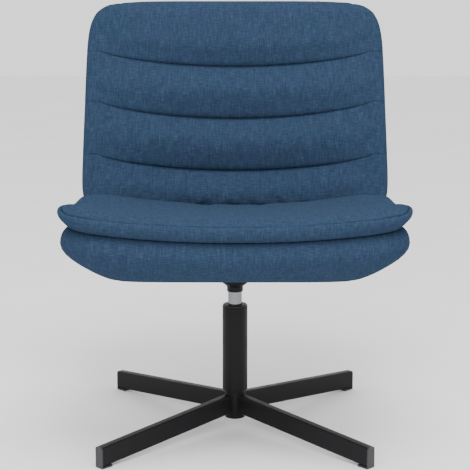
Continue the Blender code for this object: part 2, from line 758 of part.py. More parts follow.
def build_seat_base():
    """The upholstered body of the seat, rounded underneath, with a recess for the board."""
    rings = [base_ring(SEAT_BOTTOM, BASE_CORNER, 0.5)]
    for fraction in (1.0, 0.95, 0.8, 0.55, 0.3):
        height = SEAT_WIDEST - fraction * (SEAT_WIDEST - SEAT_BOTTOM)
        slack = BASE_FLATTENING * fraction ** 2 * math.sqrt(1 - fraction ** 2)
        rings.append(base_ring(height, BASE_CORNER * (quarter(fraction) + slack)))
    for fraction in (0.0, 0.5, 0.85, 1.0):
        height = SEAT_WIDEST + fraction * (SEAT_TOP - SEAT_WIDEST)
        rings.append(base_ring(height, BASE_TOP_ROUND * quarter(fraction)))
    for shrink in (0.66, 0.33):
        rings.append(base_ring(SEAT_TOP, BASE_TOP_ROUND, shrink))
    base = add_object("seat_base", loft("seat_base", rings), blue_fabric)
    recess = board_prism("board_recess", BOARD_INSET - 0.001, SEAT_BOTTOM - 0.01, SEAT_BOTTOM + 0.027)
    boolean(base, add_cutter("board_recess", recess))
    return base


def build_board():
    """The plywood seat board and the cloth that covers it from below."""
    cover_bottom = BRACKET_TOP + GAP
    board_bottom = cover_bottom + COVER_THICKNESS + GAP
    board_top = board_bottom + BOARD_THICKNESS
    pieces = [
        ("dust_cover", cover_bottom, cover_bottom + COVER_THICKNESS, black_cloth, 0.0045),
        ("seat_board", board_bottom, board_top, plywood, 0.0048),
    ]
    for name, bottom, top, material, hole in pieces:
        sheet = add_object(name, board_prism(name, BOARD_INSET, bottom, top), material)
        for index, (x, y) in enumerate(bolt_places()):
            drill = rod_mesh(f"{name}_hole", hole, (x, y, bottom - 0.005), (x, y, top + 0.005), 12)
            boolean(sheet, add_cutter(f"{name}_hole_{index + 1}", drill))
    return board_top


def build_seat_cushion():
    """The loose-looking pad on top: a full edge all round and a dished top."""
    bottom = SEAT_TOP + 0.001
    widest = PAD_WIDEST * PAD_THICKNESS
    top = bottom + PAD_THICKNESS - 0.006
    rings = [seat_ring(bottom, PAD_EDGE[0][1], PAD_REAR_REACH, 1.0, shrink) for shrink in (0.33, 0.66)]
    for fraction, inset in PAD_EDGE:
        height = bottom + widest * fraction
        rings.append(seat_ring(height, inset, PAD_REAR_REACH, 1.0, wing=fraction))
    for fraction in (0.5, 0.85, 1.0):
        height = bottom + widest + fraction * (top - bottom - widest)
        inset = PAD_TOP_ROUND * quarter(fraction)
        rings.append(seat_ring(height, inset, PAD_REAR_REACH, 1.0, 1.0, fraction * PAD_BOLSTER, wing=1.0))
    for shrink in (0.75, 0.4):
        rings.append(seat_ring(top, PAD_TOP_ROUND, PAD_REAR_REACH, 1.0, shrink, PAD_BOLSTER, wing=1.0))
    add_object("seat_cushion", loft("seat_cushion", rings), blue_fabric)


# Back

def back_half_width(height):
    share = min(max(height / BACK_TOP, 0.0), 1.0)
    return BACK_HALF_WIDTH_BOTTOM + (BACK_HALF_WIDTH_TOP - BACK_HALF_WIDTH_BOTTOM) * share


def back_ring(depth, inset, shrink=1.0, bottom=BACK_BOTTOM):
    """One ring round the back at a depth behind its front plane."""
    foot = (BACK_MIDDLE - bottom - inset, 11.0)
    head = (BACK_TOP - BACK_MIDDLE - inset, 7.4)
    outline = superellipse(back_half_width, BACK_MIDDLE, foot, head, inset)
    return [(x * shrink, depth, BACK_MIDDLE + (z - BACK_MIDDLE) * shrink) for x, z in outline]


def build_back_cushion(frame):
    depth = BACK_CUSHION_DEPTH
    rings = [back_ring(-0.006, 0.0, 0.4), back_ring(-0.004, 0.0, 0.75)]
    for fraction in (0.0, 0.2, 0.5, 1.0):
        inset = BACK_FRONT_ROUND * quarter(1 - fraction)
        rings.append(back_ring(BACK_FRONT_ROUND_DEPTH * fraction, inset))
    rings += [back_ring(depth, 0.002), back_ring(depth, 0.0, 0.5)]
    add_object("back_cushion", loft("back_cushion", rings), blue_fabric, frame)


def build_back_panel(frame):
    """The padded rear of the back, hollowed for the board and the straps."""
    front = BACK_CUSHION_DEPTH + 0.0006
    bottom = BACK_BOTTOM + 0.007
    rings = [back_ring(front, 0.002, 0.5, bottom), back_ring(front, 0.002, 1.0, bottom)]
    for fraction in (0.0, 0.5, 0.8, 1.0):
        depth = BACK_DEPTH - BACK_REAR_ROUND_DEPTH * (1 - fraction)
        rings.append(back_ring(depth, BACK_REAR_ROUND * quarter(fraction), 1.0, bottom))
    rings.append(back_ring(BACK_DEPTH, BACK_REAR_ROUND, 0.5, bottom))
    panel = add_object("back_rear_panel", loft("back_rear_panel", rings), blue_fabric, frame)
    inset = BACK_BOARD_INSET - 0.001
    hollow = loft("board_hollow", [back_ring(front - 0.01, inset), back_ring(BACK_DEPTH - 0.005, inset)])
    boolean(panel, add_cutter("board_hollow", hollow, frame))
    return panel


def build_back_board(frame):
    """A plywood panel between the back cushion and the rear padding."""
    front = BACK_CUSHION_DEPTH + 0.001
    rings = [back_ring(front, BACK_BOARD_INSET), back_ring(front + BOARD_THICKNESS, BACK_BOARD_INSET)]
    add_object("back_board", loft("back_board", rings), plywood, frame)
    return front + BOARD_THICKNESS


def build_straps(frame, base, panel, board_top, board_rear):
    """Two flat steel straps, bent up from the seat board to the back board."""
    lean = Matrix.Translation(BACK_FOOT) @ Matrix.Rotation(-BACK_LEAN, 4, "X")
    bottom = board_top + GAP
    near = board_rear + GAP
    far = near + STRAP_STEEL

    def on_back(depth, height):
        place = lean @ Vector((0, depth, height))
        return (place.y, place.z)

    def level_point(depth, height):
        upper = on_back(depth, 0.1)
        lower = on_back(depth, -0.1)
        share = (height - lower[1]) / (upper[1] - lower[1])
        return (lower[0] + (upper[0] - lower[0]) * share, height)

    front = 0.062
    bend = 0.006
    inner_corner = level_point(near, bottom + STRAP_STEEL)
    outer_corner = level_point(far, bottom)
    side = [
        (front, bottom),
        (outer_corner[0] - bend, bottom),
        level_point(far, bottom + bend),
        on_back(far, STRAP_TOP),
        on_back(near, STRAP_TOP),
        level_point(near, bottom + STRAP_STEEL + 0.002),
        (inner_corner[0] - 0.002, bottom + STRAP_STEEL),
        (front, bottom + STRAP_STEEL),
    ]
    mesh = outline_prism("back_strap", [side], STRAP_WIDTH)
    mesh.transform(Matrix.Rotation(math.pi / 2, 4, "Z") @ Matrix.Rotation(math.pi / 2, 4, "X"))
    seat_bolt = bolt_mesh("seat_strap_bolt", 0.014)
    back_bolt = bolt_mesh("back_strap_bolt", 0.013)
    hole = 0.0033
    for name, x in (("right", -STRAP_X), ("left", STRAP_X)):
        strap = add_object(f"back_strap_{name}", mesh.copy(), bright_steel)
        strap.location.x = x
        side_low = x - STRAP_WIDTH / 2 - 0.001
        side_high = x + STRAP_WIDTH / 2 + 0.001
        slot = box_mesh("strap_slot", (side_low, near - 0.001, -0.060), (side_high, far + 0.001, 0.1))
        slot_cutter = add_cutter(f"strap_slot_{name}", slot, frame)
        boolean(base, slot_cutter)
        boolean(panel, slot_cutter)
        room_low = (side_low, front - 0.001, board_top - 0.001)
        room_high = (side_high, outer_corner[0] + 0.001, board_top + 0.0105)
        boolean(base, add_cutter(f"strap_room_{name}", box_mesh("strap_room", room_low, room_high)))
        for index, y in enumerate((0.080, 0.122)):
            drill = rod_mesh("seat_strap_hole", hole, (x, y, board_top - 0.02), (x, y, board_top + 0.02), 16)
            cutter = add_cutter(f"seat_strap_hole_{name}_{index + 1}", drill)
            boolean(strap, cutter)
            boolean(bpy.data.objects["seat_board"], cutter)
            bolt = add_object(f"seat_strap_bolt_{name}_{index + 1}", seat_bolt, bright_steel)
            bolt.location = (x, y, bottom + STRAP_STEEL + GAP)
            bolt.rotation_euler.x = math.pi
        for index, height in enumerate((0.060, 0.130)):
            drill = rod_mesh("back_strap_hole", hole, (x, near - 0.02, height), (x, far + 0.02, height), 16)
            cutter = add_cutter(f"back_strap_hole_{name}_{index + 1}", drill, frame)
            boolean(strap, cutter)
            boolean(bpy.data.objects["back_board"], cutter)
            bolt = add_object(f"back_strap_bolt_{name}_{index + 1}", back_bolt, bright_steel, frame)
            bolt.location = (x, far + GAP, height)
            bolt.rotation_euler.x = math.pi / 2


def build_chair():
    build_hub()
    build_legs()
    build_stand_tube()
    build_guide_bush()
    build_bearing()
    build_piston()
    build_cylinder()
    build_socket()
    build_bracket()
    build_bracket_bolts()
    build_lever()
    base = build_seat_base()
    board_top = build_board()
    build_seat_cushion()
    frame = add_empty("back_frame", BACK_FOOT, -BACK_LEAN)
    build_back_cushion(frame)
    panel = build_back_panel(frame)
    board_rear = build_back_board(frame)
    build_straps(frame, base, panel, board_top, board_rear)


build_chair()
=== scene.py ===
import json
import math

import bmesh
import bpy
from mathutils import Matrix, Vector, noise


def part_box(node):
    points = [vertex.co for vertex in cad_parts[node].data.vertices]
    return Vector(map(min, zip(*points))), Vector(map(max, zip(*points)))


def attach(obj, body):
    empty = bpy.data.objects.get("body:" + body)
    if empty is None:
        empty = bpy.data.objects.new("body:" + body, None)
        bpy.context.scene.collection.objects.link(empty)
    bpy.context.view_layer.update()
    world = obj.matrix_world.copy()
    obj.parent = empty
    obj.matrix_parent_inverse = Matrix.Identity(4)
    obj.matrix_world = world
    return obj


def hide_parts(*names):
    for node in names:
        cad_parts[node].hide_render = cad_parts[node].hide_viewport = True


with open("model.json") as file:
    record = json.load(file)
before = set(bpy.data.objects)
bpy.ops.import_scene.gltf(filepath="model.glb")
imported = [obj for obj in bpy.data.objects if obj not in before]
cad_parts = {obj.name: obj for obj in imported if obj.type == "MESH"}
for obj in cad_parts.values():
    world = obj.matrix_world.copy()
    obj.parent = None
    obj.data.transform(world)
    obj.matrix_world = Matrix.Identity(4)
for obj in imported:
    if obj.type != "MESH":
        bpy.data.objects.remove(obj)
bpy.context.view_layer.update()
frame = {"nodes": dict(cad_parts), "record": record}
print("frame loaded")


def toLinear(code):  # sRGB hex to the linear colour a shader takes
    parts = [int(code[i:i + 2], 16) / 255 for i in (1, 3, 5)]
    return (*[p / 12.92 if p <= 0.04045 else ((p + 0.055) / 1.055) ** 2.4 for p in parts], 1.0)


def ease(value, low, high):  # 0 below low, 1 above high, smooth between
    t = min(max((value - low) / (high - low), 0.0), 1.0)
    return t * t * (3 - 2 * t)


def quarter(t):  # inset of a quarter round, from 0 at t=0 to 1 at t=1
    return 1 - math.sqrt(max(0.0, 1 - min(t, 1.0) ** 2))


# camera, floor and light
cameraSpec = {
    "place": (0.0, -2.7405, 0.9179),  # where a person stands to look at the chair
    "pitch": 10.88,  # degrees below the horizon
    "lens": 108.32,
    "sensor": 36.0,
}
lightSpec = {
    "key": {"place": (-0.8, -3.2, 2.2), "size": 2.2, "watts": 45.0, "aim": (0.0, 0.0, 0.50)},
    "fill": {"place": (2.4, -2.0, 1.7), "size": 2.6, "watts": 6.0, "aim": (0.0, 0.0, 0.40)},
    "top": {"place": (0.2, -1.1, 3.0), "size": 1.5, "watts": 60.0, "aim": (0.0, 0.0, 0.50)},
    "sky": 1.45,
}


def makeCamera(spec):
    data = bpy.data.cameras.new("camera")
    data.lens = spec["lens"]
    data.sensor_width = spec["sensor"]
    camera = bpy.data.objects.new("camera", data)
    camera.location = spec["place"]
    camera.rotation_euler = (math.pi / 2 - math.radians(spec["pitch"]), 0.0, 0.0)
    bpy.context.scene.collection.objects.link(camera)
    bpy.context.scene.camera = camera


def makeLights(spec):
    for name in ("key", "fill", "top"):
        data = bpy.data.lights.new(name, "AREA")
        data.shape = "DISK"
        data.size = spec[name]["size"]
        data.energy = spec[name]["watts"]
        lamp = bpy.data.objects.new(name, data)
        lamp.location = spec[name]["place"]
        aim = Vector(spec[name]["aim"]) - lamp.location
        lamp.rotation_euler = aim.to_track_quat("-Z", "Y").to_euler()
        bpy.context.scene.collection.objects.link(lamp)
    world = bpy.data.worlds.new("studio")
    world.use_nodes = True
    world.node_tree.nodes["Background"].inputs["Color"].default_value = toLinear("#ffffff")
    world.node_tree.nodes["Background"].inputs["Strength"].default_value = spec["sky"]
    bpy.context.scene.world = world


makeCamera(cameraSpec)
makeLights(lightSpec)
print("camera and lights placed")


# materials
def newMaterial(name, colour, roughness, metallic=0.0, extra=None):
    material = bpy.data.materials.new(name)
    material.use_nodes = True
    shader = material.node_tree.nodes["Principled BSDF"]
    shader.inputs["Base Color"].default_value = toLinear(colour)
    shader.inputs["Roughness"].default_value = roughness
    shader.inputs["Metallic"].default_value = metallic
    for socket, value in (extra or {}).items():
        shader.inputs[socket].default_value = value
    return material, material.node_tree, shader


def addNode(tree, kind, settings=None, links=None):  # one node, its settings and what feeds it
    node = tree.nodes.new(kind)
    for key, value in (settings or {}).items():
        if isinstance(key, str) and hasattr(node, key):
            setattr(node, key, value)
        else:
            node.inputs[key].default_value = value
    for key, source in (links or {}).items():
        tree.links.new(source, node.inputs[key])
    return node


def rampOf(tree, fac, stops):  # colour ramp from (position, hex) pairs
    node = addNode(tree, "ShaderNodeValToRGB", None, {"Fac": fac})
    elements = node.color_ramp.elements
    while len(elements) < len(stops):
        elements.new(0.5)
    for element, (place, code) in zip(elements, stops):
        element.position = place
        element.color = toLinear(code)
    return node.outputs["Color"]


def colourBy(tree, shader, fac, stops):
    tree.links.new(rampOf(tree, fac, stops), shader.inputs["Base Color"])


def bumpOn(tree, shader, height, strength, distance):
    bump = addNode(tree, "ShaderNodeBump", {"Strength": strength, "Distance": distance}, {"Height": height})
    tree.links.new(bump.outputs["Normal"], shader.inputs["Normal"])


linenSpec = {
    "dark": "#202e3f",
    "mid": "#2a394c",
    "light": "#37485f",
    "slubWidth": 0.0020,  # metres; yarn is 0.7 mm, drawn coarser so that it shows at this size
    "slubLength": 0.016,  # how far one thick place runs along its yarn
    "yarnPitch": 0.0016,  # the real weave has 12 yarns per cm, drawn at half that count
    "patch": 0.055,  # spread of the faint dye differences
}


def wovenLinen(spec):
    # upholstery polyester, plain-woven from slubby two-tone yarn: short streaks both ways, soft fuzz on edges
    material, tree, shader = newMaterial("wovenPolyesterLinen", spec["mid"], 0.92, 0.0, {
        "Sheen Weight": 0.03, "Sheen Roughness": 0.45, "Sheen Tint": toLinear("#a9c2da"),
        "Specular IOR Level": 0.0,
    })
    place = addNode(tree, "ShaderNodeTexCoord")
    axes = addNode(tree, "ShaderNodeSeparateXYZ", None, {0: place.outputs["Object"]}).outputs
    facing = addNode(tree, "ShaderNodeVectorMath", {"operation": "ABSOLUTE"}, {0: place.outputs["Normal"]})
    sides = addNode(tree, "ShaderNodeSeparateXYZ", None, {0: facing.outputs[0]}).outputs

    def math2(kind, first, second):
        node = addNode(tree, "ShaderNodeMath", {"operation": kind})
        for index, value in enumerate((first, second)):
            if isinstance(value, (int, float)):
                node.inputs[index].default_value = value
            else:
                tree.links.new(value, node.inputs[index])
        return node.outputs[0]

    def streaks(along, across, shift):  # noise drawn out along one yarn direction
        slow = math2("MULTIPLY", along, 1 / spec["slubLength"])
        fast = math2("MULTIPLY", across, 1 / spec["slubWidth"])
        vector = addNode(tree, "ShaderNodeCombineXYZ", {"Z": shift}, {"X": slow, "Y": fast})
        return addNode(tree, "ShaderNodeTexNoise", {"Scale": 1.0, "Detail": 2.5, "Roughness": 0.6},
                       {"Vector": vector.outputs[0]}).outputs["Fac"]

    def weave(u, v):  # over and under of a plain weave
        first = math2("SINE", math2("MULTIPLY", u, math.pi / spec["yarnPitch"]), 0.0)
        second = math2("SINE", math2("MULTIPLY", v, math.pi / spec["yarnPitch"]), 0.0)
        return math2("MULTIPLY", first, second)

    planes = (("X", "Z", "Y"), ("X", "Y", "Z"), ("Y", "Z", "X"))  # the last letter is the way the cloth faces
    slubs, crossings, total = None, None, None
    for index, (u, v, face) in enumerate(planes):
        weight = math2("POWER", sides[face], 8.0)
        both = math2("ADD", streaks(axes[u], axes[v], 3.1 * index), streaks(axes[v], axes[u], 7.7 + index))
        slub = math2("MULTIPLY", both, weight)
        cross = math2("MULTIPLY", weave(axes[u], axes[v]), weight)
        slubs = slub if slubs is None else math2("ADD", slubs, slub)
        crossings = cross if crossings is None else math2("ADD", crossings, cross)
        total = weight if total is None else math2("ADD", total, weight)
    slubs = math2("DIVIDE", slubs, total)
    crossings = math2("DIVIDE", crossings, total)
    shade = math2("ADD", math2("MULTIPLY", slubs, 0.5), math2("MULTIPLY", crossings, 0.03))
    patches = addNode(tree, "ShaderNodeTexNoise", {"Scale": 1 / spec["patch"], "Detail": 2.0},
                      {"Vector": place.outputs["Object"]})
    colour = rampOf(tree, shade, ((0.30, spec["dark"]), (0.5, spec["mid"]), (0.70, spec["light"])))
    tint = rampOf(tree, patches.outputs["Fac"], ((0.35, "#9fb4b8"), (0.5, "#b4b4bc"), (0.65, "#b6b0c4")))
    mixed = addNode(tree, "ShaderNodeMix", {"data_type": "RGBA", "blend_type": "SOFT_LIGHT", 0: 0.30},
                    {6: colour, 7: tint})
    tree.links.new(mixed.outputs[2], shader.inputs["Base Color"])
    bumpOn(tree, shader, math2("ADD", slubs, math2("MULTIPLY", crossings, 0.12)), 0.4, 0.0009)
    return material


def powderCoat():
    # black polyester powder coat, baked: satin, with a fine orange peel that softens every highlight
    material, tree, shader = newMaterial("satinPowderCoat", "#161617", 0.55, 0.0, {
        "Specular IOR Level": 0.12,
    })
    place = addNode(tree, "ShaderNodeTexCoord").outputs["Object"]
    peel = addNode(tree, "ShaderNodeTexNoise", {"Scale": 1 / 0.0016, "Detail": 2.0}, {"Vector": place})
    cloud = addNode(tree, "ShaderNodeTexNoise", {"Scale": 1 / 0.03, "Detail": 3.0}, {"Vector": place})
    tree.links.new(rampOf(tree, cloud.outputs["Fac"], ((0.3, "#151516"), (0.7, "#18181a"))),
                   shader.inputs["Base Color"])
    rough = addNode(tree, "ShaderNodeMapRange",
                    {"From Min": 0.3, "From Max": 0.7, "To Min": 0.38, "To Max": 0.5},
                    {"Value": cloud.outputs["Fac"]})
    tree.links.new(rough.outputs[0], shader.inputs["Roughness"])
    bumpOn(tree, shader, peel.outputs["Fac"], 0.25, 0.0002)
    return material


def mouldedPlastic(name, dark, light, roughness, grain):
    # injection-moulded polyamide with a spark-eroded grain: dull, with small bright points broken up
    material, tree, shader = newMaterial(name, dark, roughness, 0.0, {"IOR": 1.53})
    place = addNode(tree, "ShaderNodeTexCoord").outputs["Object"]
    pits = addNode(tree, "ShaderNodeTexNoise", {"Scale": 1 / grain, "Detail": 4.0, "Roughness": 0.7},
                   {"Vector": place})
    colourBy(tree, shader, pits.outputs["Fac"], ((0.35, dark), (0.65, light)))
    bumpOn(tree, shader, pits.outputs["Fac"], 0.35, 0.0002)
    return material


def hardChrome():
    # hard chrome plate on a ground and polished cylinder: near mirror, faint rings left by the grinding
    material, tree, shader = newMaterial("polishedHardChrome", "#787a7d", 0.09, 1.0)
    place = addNode(tree, "ShaderNodeTexCoord").outputs["Object"]
    rings = addNode(tree, "ShaderNodeMapping", {"Scale": (40.0, 40.0, 2500.0)}, {"Vector": place})
    marks = addNode(tree, "ShaderNodeTexNoise", {"Scale": 1.0, "Detail": 3.0}, {"Vector": rings.outputs[0]})
    rough = addNode(tree, "ShaderNodeMapRange",
                    {"From Min": 0.3, "From Max": 0.7, "To Min": 0.06, "To Max": 0.14},
                    {"Value": marks.outputs["Fac"]})
    tree.links.new(rough.outputs[0], shader.inputs["Roughness"])
    bumpOn(tree, shader, marks.outputs["Fac"], 0.04, 0.0001)
    return material


def zincPlate():
    # bright zinc, passivated: grey metal with a faint spangle and a blue-yellow cast
    material, tree, shader = newMaterial("passivatedZinc", "#a9adb2", 0.34, 1.0)
    place = addNode(tree, "ShaderNodeTexCoord").outputs["Object"]
    cells = addNode(tree, "ShaderNodeTexVoronoi", {"Scale": 1 / 0.004}, {"Vector": place})
    tree.links.new(rampOf(tree, cells.outputs["Distance"], ((0.1, "#9ea4ad"), (0.6, "#b5b6b0"))),
                   shader.inputs["Base Color"])
    rough = addNode(tree, "ShaderNodeMapRange", {"To Min": 0.28, "To Max": 0.42},
                    {"Value": cells.outputs["Distance"]})
    tree.links.new(rough.outputs[0], shader.inputs["Roughness"])
    return material


def nitrileRubber():
    # moulded nitrile rubber: deep black, soft bloom on the skin
    material, tree, shader = newMaterial("mouldedNitrile", "#17181a", 0.7)
    place = addNode(tree, "ShaderNodeTexCoord").outputs["Object"]
    bloom = addNode(tree, "ShaderNodeTexNoise", {"Scale": 1 / 0.002, "Detail": 4.0}, {"Vector": place})
    colourBy(tree, shader, bloom.outputs["Fac"], ((0.3, "#121314"), (0.7, "#232425")))
    bumpOn(tree, shader, bloom.outputs["Fac"], 0.2, 0.0001)
    return material


def birchPly():
    # sawn birch plywood: long pale grain on the faces, thin plies on the edges
    material, tree, shader = newMaterial("sawnBirchPlywood", "#c9a878", 0.62)
    place = addNode(tree, "ShaderNodeTexCoord").outputs["Object"]
    drawn = addNode(tree, "ShaderNodeMapping", {"Scale": (8.0, 160.0, 420.0)}, {"Vector": place})
    grain = addNode(tree, "ShaderNodeTexNoise", {"Scale": 1.0, "Detail": 5.0, "Roughness": 0.6},
                    {"Vector": drawn.outputs[0]})
    tree.links.new(rampOf(tree, grain.outputs["Fac"], ((0.3, "#9d7847"), (0.5, "#c7a473"), (0.7, "#dcc096"))),
                   shader.inputs["Base Color"])
    bumpOn(tree, shader, grain.outputs["Fac"], 0.2, 0.0003)
    return material


def spunCloth():
    # spunbonded polypropylene dust cover: matt black felt with a dimpled bond pattern
    material, tree, shader = newMaterial("spunbondCloth", "#1b1c1e", 0.95, 0.0, {"Sheen Weight": 0.2})
    place = addNode(tree, "ShaderNodeTexCoord").outputs["Object"]
    dots = addNode(tree, "ShaderNodeTexVoronoi", {"Scale": 1 / 0.003}, {"Vector": place})
    fibre = addNode(tree, "ShaderNodeTexNoise", {"Scale": 1 / 0.0012, "Detail": 4.0}, {"Vector": place})
    colourBy(tree, shader, fibre.outputs["Fac"], ((0.35, "#141516"), (0.65, "#2a2b2e")))
    bumpOn(tree, shader, dots.outputs["Distance"], 0.5, 0.0005)
    return material


def paintedFloor():
    # matt white studio floor, rolled: even and pale
    material, tree, shader = newMaterial("rolledWhiteFloor", "#f4f4f4", 0.85)
    place = addNode(tree, "ShaderNodeTexCoord").outputs["Object"]
    roll = addNode(tree, "ShaderNodeTexNoise", {"Scale": 3.0, "Detail": 2.0}, {"Vector": place})
    colourBy(tree, shader, roll.outputs["Fac"], ((0.3, "#f2f2f2"), (0.7, "#f6f6f6")))
    return material


finishes = {
    "black_powder_coat": powderCoat(),
    "foot_cap_plastic": mouldedPlastic("mouldedGreyPolyamide", "#18191b", "#232426", 0.5, 0.0012),
    "black_plastic": mouldedPlastic("mouldedBlackPolyamide", "#0e0f10", "#17181a", 0.45, 0.0010),
    "zinc_plated_steel": zincPlate(),
    "chrome": hardChrome(),
    "rubber": nitrileRubber(),
    "plywood": birchPly(),
    "blue_fabric": wovenLinen(linenSpec),
    "dust_cover_cloth": spunCloth(),
}
for part in frame["record"]["subparts"]:
    slots = frame["nodes"][part["node"]].data.materials
    slots.clear()
    slots.append(finishes[part["material_slot"]])
print("materials made")

floorMesh = bpy.data.meshes.new("studioFloor")
floorHalf = 9.0
floorMesh.from_pydata([(-floorHalf, -floorHalf, 0), (floorHalf, -floorHalf, 0),
                       (floorHalf, floorHalf, 0), (-floorHalf, floorHalf, 0)], [], [(0, 1, 2, 3)])
floorMesh.materials.append(paintedFloor())
floor = bpy.data.objects.new("studioFloor", floorMesh)
floor.location.z = -0.0006
bpy.context.scene.collection.objects.link(floor)


# pieces
def addPiece(name, points, faces, slot, body, replaced=(), creases=math.radians(40)):
    mesh = bpy.data.meshes.new(name)
    mesh.from_pydata([tuple(p) for p in points], [], faces)
    work = bmesh.new()
    work.from_mesh(mesh)
    bmesh.ops.recalc_face_normals(work, faces=work.faces)
    work.to_mesh(mesh)
    work.free()
    mesh.shade_smooth()
    if creases:
        mesh.set_sharp_from_angle(angle=creases)
    mesh.materials.append(finishes[slot])
    piece = bpy.data.objects.new(name, mesh)
    bpy.context.scene.collection.objects.link(piece)
    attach(piece, body)
    if replaced:
        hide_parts(*replaced)
    return piece


def turned(name, profile, slot, body, replaced=(), steps=96):  # profile of (radius, height), closed
    points, faces = [], []
    count = len(profile)
    for step in range(steps):
        angle = 2 * math.pi * step / steps
        points += [(r * math.cos(angle), r * math.sin(angle), z) for r, z in profile]
    for step in range(steps):
        near, far = step * count, (step + 1) % steps * count
        for i in range(count):
            j = (i + 1) % count
            faces.append((near + i, near + j, far + j, far + i))
    return addPiece(name, points, faces, slot, body, replaced)


def arc(centre, radius, start, end, steps=6):  # points of an arc in a turned profile, degrees
    turn = [math.radians(start + (end - start) * i / steps) for i in range(steps + 1)]
    return [(centre[0] + radius * math.cos(a), centre[1] + radius * math.sin(a)) for a in turn]


# column and base: the same sizes as the frame's solids, with full round sections and softened edges
columnSpec = {
    "tube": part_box("stand_tube"),
    "hub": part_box("hub_tube"),
    "bush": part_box("guide_bush"),
    "cylinder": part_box("gas_cylinder"),
    "socket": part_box("taper_socket"),
    "tubeWall": 0.0015,
    "neckRadius": 0.018,
    "neckTop": 0.0765,
    "cylinderRadius": 0.014,
    "collarRadius": 0.016,
    "collarTop": 0.2865,
    "flareTop": 0.2955,
    "taper": 0.0008,
}


def makeColumn(spec):
    low, high = spec["tube"]
    radius, wall, shoulder = high.x, spec["tubeWall"], spec["neckTop"]
    inner, neck = radius - wall, spec["neckRadius"]
    turned("standTubeBody", [
        (inner, high.z - 0.0006), (inner + 0.0004, high.z),
        *arc((radius - 0.0009, high.z - 0.0009), 0.0009, 90, 0),
        *arc((radius - 0.0014, shoulder + 0.0014), 0.0014, 0, -90), (neck, shoulder), (neck, low.z + 0.0004),
        (neck - 0.0004, low.z), (neck - wall, low.z), (neck - wall, shoulder + wall),
        (inner, shoulder + wall),
    ], "black_powder_coat", "base", ["stand_tube"])

    low, high = spec["bush"]
    rim, bore, sleeve = high.x, spec["cylinderRadius"] + 0.0003, radius - wall - 0.0003
    seatZ = spec["tube"][1].z + 0.0003
    turned("guideBushRing", [
        (bore, high.z - 0.0012), *arc((bore + 0.0012, high.z - 0.0012), 0.0012, 180, 90),
        *arc((rim - 0.0028, high.z - 0.0028), 0.0028, 90, 0), (rim, seatZ + 0.0003), (rim - 0.0003, seatZ),
        (sleeve, seatZ), (sleeve, low.z), (bore, low.z),
    ], "black_plastic", "base", ["guide_bush"])

    low, high = spec["cylinder"]
    outer, bore, pin = spec["cylinderRadius"], spec["cylinderRadius"] - 0.002, 0.0028
    turned("gasCylinderBody", [
        (pin, high.z), *arc((outer - spec["taper"] - 0.0012, high.z - 0.0012), 0.0012, 90, 0),
        (outer, 0.277), *arc((outer - 0.0012, low.z + 0.0012), 0.0012, 0, -90), (bore, low.z),
        (bore, high.z - 0.008), (pin, high.z - 0.008),
    ], "chrome", "seat", ["gas_cylinder"], 128)

    low, high = spec["socket"]
    collar, flare = spec["collarRadius"], high.x
    bore, boreTop, spigot = outer + 0.0003, outer - 0.0003, 0.019
    underPlate = high.z - 0.0063
    foot, climb = spec["collarTop"], spec["flareTop"] - spec["collarTop"]
    curve = [(collar + (flare - collar) * (1 - math.cos(t * math.pi / 2)) ** 0.8, foot + climb * t ** 0.9)
             for t in [i / 10 for i in range(11)]]
    turned("taperSocketCollar", [
        (boreTop, high.z), (spigot - 0.0005, high.z), (spigot, high.z - 0.0005), (spigot, underPlate),
        *arc((flare - 0.0008, underPlate - 0.0008), 0.0008, 90, 0, 4), *reversed(curve),
        *arc((collar - 0.0014, low.z + 0.0014), 0.0014, 0, -90), (bore, low.z),
    ], "black_powder_coat", "seat", ["taper_socket"])

    low, high = spec["hub"]
    outer, wall = high.x, 0.0017
    turned("hubTubeBody", [
        (outer - wall, high.z), (outer - 0.0003, high.z), (outer, high.z - 0.0003),
        *arc((outer - 0.0007, low.z + 0.0007), 0.0007, 0, -90, 4), (outer - wall, low.z),
    ], "black_powder_coat", "base", ["hub_tube"])


legSpec = {
    "turns": {"front_right": 225, "front_left": 315, "rear_left": 45, "rear_right": 135},
    "width": 0.0186,
    "height": 0.0378,
    "corner": 0.004,
    "wall": 0.0015,
    "end": 0.3533,  # reach of the cut end, where the cap's flange sits
    "fall": 0.0818,  # drop for each metre of reach
    "axisHeight": 0.0504,
    "hubRadius": 0.0203,
    "bead": 0.0016,  # radius of the weld bead
    "ripple": 0.0042,  # spacing of the weld's ripples
}


def roundedLoop(width, height, corner, steps):
    points = []
    for index in range(4):
        signX, signY = (1 if index in (0, 3) else -1), (1 if index in (0, 1) else -1)
        for step in range(steps + 1):
            angle = (index + step / steps) * math.pi / 2
            points.append((signX * (width / 2 - corner) + corner * math.cos(angle),
                           signY * (height / 2 - corner) + corner * math.sin(angle)))
    return points


